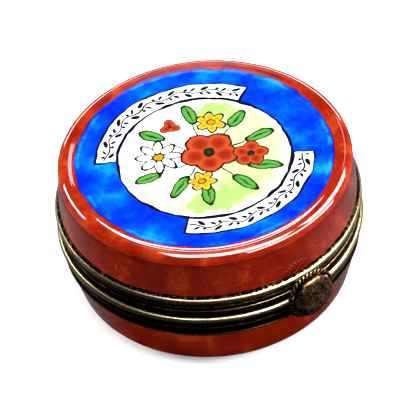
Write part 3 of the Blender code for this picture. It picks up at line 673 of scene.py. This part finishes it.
def rounded_copy(node, name, width):
    """A copy of a CAD solid with its loose triangles joined, its flats made whole and its edges rounded."""
    bpy.ops.object.select_all(action="DESELECT")
    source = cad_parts[node]
    piece = bpy.data.objects.new(name, source.data.copy())
    bpy.context.scene.collection.objects.link(piece)
    piece.data.name = name
    piece.data.materials.clear()
    bpy.context.view_layer.objects.active = piece
    piece.select_set(True)
    bpy.ops.object.mode_set(mode="EDIT")
    bpy.ops.mesh.select_all(action="SELECT")
    bpy.ops.mesh.remove_doubles(threshold=0.001 * MM)
    bpy.ops.mesh.dissolve_limited(angle_limit=radians(2))
    bpy.ops.object.mode_set(mode="OBJECT")
    bevel = piece.modifiers.new("Worn edges", "BEVEL")
    bevel.width = width * MM
    bevel.segments = 3
    bevel.limit_method = "ANGLE"
    bevel.angle_limit = radians(35)
    bpy.ops.object.modifier_apply(modifier=bevel.name)
    bpy.ops.object.shade_smooth_by_angle(angle=radians(40))
    return piece


for body, sides in (("base", ("left", "middle", "right")), ("lid", ("left", "right"))):
    for side in sides:
        node = body + "_knuckle_" + side
        tube = rounded_copy(node, body + "_hinge_tube_" + side, 0.09)
        tube.data.materials.append(hinge_brass)
        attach(tube, body)
        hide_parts(node)

pin = rounded_copy("hinge_pin", "hinge_pin_wire", 0.06)
pin.data.materials.append(inner_brass)
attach(pin, "base")
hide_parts("hinge_pin")

# Clasp
# A springy brass strip soldered behind a disc, a ring of twisted wire and a cast dome. The strip is soldered
# to the lid's band and its hook snaps under the big bead of the base's.
tongue = rounded_copy("clasp_tongue", "clasp_spring_tongue", 0.05)
tongue.data.materials.append(inner_brass)
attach(tongue, "clasp")
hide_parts("clasp_tongue")

button_low, button_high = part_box("clasp_button")
rope_low, rope_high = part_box("clasp_rope_ring")
plate_low, plate_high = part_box("clasp_backplate")
clasp_z = ((button_low + button_high) / 2).z / MM
clasp_axis = (0, 0, clasp_z * MM)
rope_y = (rope_low.y + rope_high.y) / 2 / MM
plate_front_y = plate_low.y / MM
plate_t = (plate_high.y - plate_low.y) / MM
plate_r = plate_high.x / MM
plate_edge = 0.1
button_r = button_high.x / MM
button_front_y = button_low.y / MM
turn_to_front = Matrix.Rotation(pi / 2, 4, "X")


def faced_forward(piece, y):
    """Turns a piece made about Z to face the front, along -Y, and puts its foot at y in mm on the clasp's
    height."""
    piece.data.transform(Matrix.Translation((0, y * MM, clasp_z * MM)) @ turn_to_front)
    piece.data.update()


plate_section = [(0, 0), (plate_r - plate_edge, 0), (plate_r, plate_edge), (plate_r, plate_t - plate_edge),
                 (plate_r - plate_edge, plate_t), (0, plate_t)]
backplate = thrown("clasp_disc", plate_section, segments=96)
faced_forward(backplate, plate_front_y + plate_t)


def clasp_brass(name, inner, outer, low_share, high_share, **tones):
    """Aged brass whose wear goes by the distance, in mm, from the clasp's own axis."""
    made, tree, shader, place = finish(name, Metallic=1.0)
    out = out_from_axis(tree, place, (1, 0, 1), clasp_axis)
    reach = add_node(tree, "ShaderNodeMapRange", {
        "Value": out, "From Min": inner * MM, "From Max": outer * MM,
        "To Min": low_share, "To Max": high_share})
    patina(tree, shader, place, reach.outputs[0], **tones)
    return made


backplate.data.materials.append(clasp_brass("patinated brass disc", 0, plate_r, 0.1, 0.2))
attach(backplate, "clasp")
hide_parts("clasp_backplate")

# The rope ring: two wires twisted together and closed into a ring. A torus gets the two lobes of the pair as
# its section, and the lobes turn 17 times on their way round, which shows as 34 lays.
wire_r = (rope_high.y - rope_low.y) / 2 / MM
rope_r = (rope_high.x / MM) - wire_r
rope_twists = 17
waist_share = 0.45       # half the pair's width where the wires meet, as a share of its greatest
bpy.ops.object.select_all(action="DESELECT")
bpy.ops.mesh.primitive_torus_add(major_segments=476, minor_segments=28, major_radius=rope_r * MM,
                                 minor_radius=wire_r * MM)
rope_ring = bpy.context.object
rope_ring.name = rope_ring.data.name = "clasp_rope_wire"
for vertex in rope_ring.data.vertices:
    x, y, z = vertex.co / MM
    round_turn = atan2(y, x)
    off = Vector((x, y)).length - rope_r
    side = atan2(z, off)
    lobe = abs(cos(side - rope_twists * round_turn))
    reach = wire_r * (waist_share + (1 - waist_share) * lobe ** 0.8)
    reach_out = rope_r + reach * cos(side)
    vertex.co = Vector((reach_out * cos(round_turn), reach_out * sin(round_turn), reach * sin(side))) * MM
bpy.ops.object.shade_smooth()
faced_forward(rope_ring, rope_y)

# Its brass is rubbed by the distance from the middle of the pair of wires.
rope_brass, tree, shader, place = finish("rubbed brass twisted wire", Metallic=1.0)
from_middle = worked(tree, out_from_axis(tree, place, (1, 0, 1), clasp_axis), ("SUBTRACT", rope_r * MM))
parts = add_node(tree, "ShaderNodeSeparateXYZ", {0: place})
depth = worked(tree, parts.outputs[1], ("SUBTRACT", rope_y * MM))
in_section = add_node(tree, "ShaderNodeCombineXYZ", {0: from_middle, 1: depth})
from_wire = add_node(tree, "ShaderNodeVectorMath", {0: in_section.outputs[0]}, operation="LENGTH")
wire_reach = add_node(tree, "ShaderNodeMapRange", {
    "Value": from_wire.outputs["Value"], "From Min": wire_r * 0.74 * MM,
    "From Max": wire_r * MM}).outputs[0]
patina(tree, shader, place, wire_reach, worn="#C2AC88", pit_share=0.4)
rope_ring.data.materials.append(rope_brass)
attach(rope_ring, "clasp")
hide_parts("clasp_rope_ring")

# The button: a low cast brass bun, hammered all over. It overhangs the rope ring and stands on a short stem
# that passes through the disc and the strip.
stem_r = 0.6
button_foot_r = 3.1
button_foot_y = plate_front_y - 0.25
button_dome_h = 0.88      # from its widest circle to its tip
button_edge_h = button_foot_y - button_front_y - button_dome_h
button_stem_back = button_foot_y - button_high.y / MM
dome_steps = 22
edge_steps = 6
fullness = 0.87           # under 1 it bulges past an ellipse
dome = [(0, button_edge_h + button_dome_h)]
for i in range(1, dome_steps + 1):
    a = pi / 2 * (1 - i / dome_steps)
    dome.append((button_r * cos(a) ** fullness, button_edge_h + button_dome_h * abs(sin(a)) ** fullness))
dome += [(button_foot_r + (button_r - button_foot_r) * cos(a), button_edge_h * (1 - sin(a)))
         for a in [pi / 2 * i / edge_steps for i in range(1, edge_steps + 1)]]
button = thrown("hammered_button", dome + [(stem_r, 0), (stem_r, button_stem_back), (0, button_stem_back)],
                segments=160, smooth_angle=50)
wander(button, grain=1.3, depth=0.22)
wander(button, grain=0.5, depth=0.06)
faced_forward(button, button_foot_y)
cast_brass = clasp_brass("hammered cast brass", 2.2, button_r + 0.2, 0.7, 0.66, worn="#E6BE92",
                         brown="#84583C", crust="#160D07", pit=0.4, pit_share=2.4)
button.data.materials.append(cast_brass)
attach(button, "clasp")
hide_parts("clasp_button")

# Table
# A white sweep under the box, as in a product photograph. It is faintly lit from below, which thins the box's
# shadow, and it doesn't show in the box's gloss.
bpy.ops.object.select_all(action="DESELECT")
bpy.ops.mesh.primitive_plane_add(size=6)
floor = bpy.context.object
floor.name = "white_table"
floor.data.materials.append(finish("white table", Base_Color=colour("#F4F4F2"), Roughness=0.9,
                                   Emission_Color=colour("#FFFFFF"), Emission_Strength=0.3)[0])
floor.visible_glossy = False

# Camera
# A long lens from 0.8 m, 43 degrees above the table, with the box's clasp to the lower right. It is turned
# 5.4 degrees about its own axis, as the box stands in its picture.
scene = bpy.context.scene
camera_azimuth, camera_elevation, camera_roll = radians(-34.5), radians(43.3), radians(5.4)
camera_distance = 0.8
picture_px = 416
scale_px = 6.138          # picture points to 1 mm at the box's axis
sensor = 36
aim_px = (209.9, 213.2)   # where the point on the axis at aim_z stands in the picture
aim_z = 12.4 * MM
back = Vector((sin(camera_azimuth) * cos(camera_elevation), -cos(camera_azimuth) * cos(camera_elevation),
               sin(camera_elevation)))
level_right = Vector((cos(camera_azimuth), sin(camera_azimuth), 0))
level_up = back.cross(level_right)
right = level_right * cos(camera_roll) - level_up * sin(camera_roll)
up = level_right * sin(camera_roll) + level_up * cos(camera_roll)
off_right = (picture_px / 2 - aim_px[0]) / scale_px * MM
off_up = (aim_px[1] - picture_px / 2) / scale_px * MM
camera_data = bpy.data.cameras.new("camera")
camera_data.sensor_width = sensor
camera_data.lens = scale_px / MM * camera_distance * sensor / picture_px
camera_data.clip_start = 0.01
camera_data.clip_end = 20
camera = bpy.data.objects.new("camera", camera_data)
scene.collection.objects.link(camera)
camera.rotation_mode = "QUATERNION"
camera.location = Vector((0, 0, aim_z)) + back * camera_distance + right * off_right + up * off_up
camera.rotation_quaternion = Matrix((right, up, back)).transposed().to_quaternion()
scene.camera = camera

# Light
# A dim studio, palest behind the box and in a patch overhead. A long soft box hangs overhead, and strips to
# the sides and the back draw the white lines along the rolled rim. Two low lamps light the walls and don't
# show in the gloss.
scene.view_settings.view_transform = "Standard"
world = bpy.data.worlds.new("studio")
scene.world = world
world.use_nodes = True
sky = world.node_tree
background = sky.nodes["Background"]
background.inputs["Color"].default_value = colour("#FFFFFF")
direction = add_node(sky, "ShaderNodeTexCoord").outputs["Generated"]
height = add_node(sky, "ShaderNodeSeparateXYZ", {0: direction}).outputs[2]
to_camera = Vector((back.x, back.y, 0)).normalized()
pale_side = (level_right * 0.25 - to_camera * 0.97).normalized()
pale_ceiling = Vector((0, 0, 0.914)) - to_camera * 0.405
facing, overhead = [
    add_node(sky, "ShaderNodeVectorMath", {0: direction, 1: tuple(towards)}, operation="DOT_PRODUCT")
    .outputs["Value"] for towards in (pale_side, pale_ceiling)]
# Each share of the glow: what it goes by, from where to where, and its strength at both.
glow_shares = ((facing, -0.3, 0.2, 0.01, 0.15), (facing, 0.1, 0.7, 0.0, 0.05), (height, -0.9, -0.7, 0.0, 1.0),
               (height, 0.0, 0.4, 1.0, 0.08), (overhead, 0.96, 0.985, 0.0, 1.2))
side_glow, right_glow, low_share, high_share, overhead_glow = [
    add_node(sky, "ShaderNodeMapRange", {
        "Value": value, "From Min": start, "From Max": end,
        "To Min": at_start, "To Max": at_end}).outputs[0]
    for value, start, end, at_start, at_end in glow_shares]
glow = worked(sky, side_glow, ("ADD", right_glow), ("MULTIPLY", low_share), ("MULTIPLY", high_share),
              ("ADD", overhead_glow))
sky.links.new(glow, background.inputs["Strength"])


def soft_light(name, place, long_way, length, breadth, radiance, mirrored=True):
    """An area light that faces the box. place and long_way, the direction of its longer side, are in metres
    to the camera's right, towards it and up. radiance is how bright its face looks, where a white sheet in
    the same light as the table is about 1. Gloss shows only what is mirrored."""
    lamp = bpy.data.lights.new(name, "AREA")
    lamp.shape = "RECTANGLE"
    lamp.size = length
    lamp.size_y = breadth
    lamp.energy = radiance * pi * length * breadth
    lit = bpy.data.objects.new(name, lamp)
    lit.visible_glossy = mirrored
    scene.collection.objects.link(lit)
    in_room = Matrix((level_right, to_camera, Vector((0, 0, 1)))).transposed()
    spot = in_room @ Vector(place)
    away = spot.normalized()
    along = in_room @ Vector(long_way)
    along = (along - away * along.dot(away)).normalized()
    lit.location = spot + Vector((0, 0, 0.02))
    lit.rotation_mode = "QUATERNION"
    lit.rotation_quaternion = Matrix((along, away.cross(along), away)).transposed().to_quaternion()


soft_light("overhead", (0.05, 0.06, 0.5), (1, 0, 0), 0.42, 0.2, 12.5)
soft_light("right_back", (0.33, -0.18, 0.4), (0.11, -0.43, -0.29), 0.3, 0.15, 15)
soft_light("left_back", (-0.36, -0.26, 0.31), (-0.03, 0.27, 0.2), 0.2, 0.07, 13)
soft_light("right_front", (0.36, 0.16, 0.3), (0.82, -1.03, -0.42), 0.6, 0.09, 12)
soft_light("low_back", (0, -0.6, 0.17), (1, 0, 0), 0.7, 0.07, 8)
soft_light("back_right", (0.2, -0.42, 0.35), (0.03, 0.15, 0.16), 0.14, 0.05, 5)
soft_light("right", (0.5, 0.1, 0.12), (0, 1, 0), 0.26, 0.2, 18, mirrored=False)
soft_light("left", (-0.5, -0.2, 0.12), (0, 1, 0), 0.2, 0.16, 52, mirrored=False)
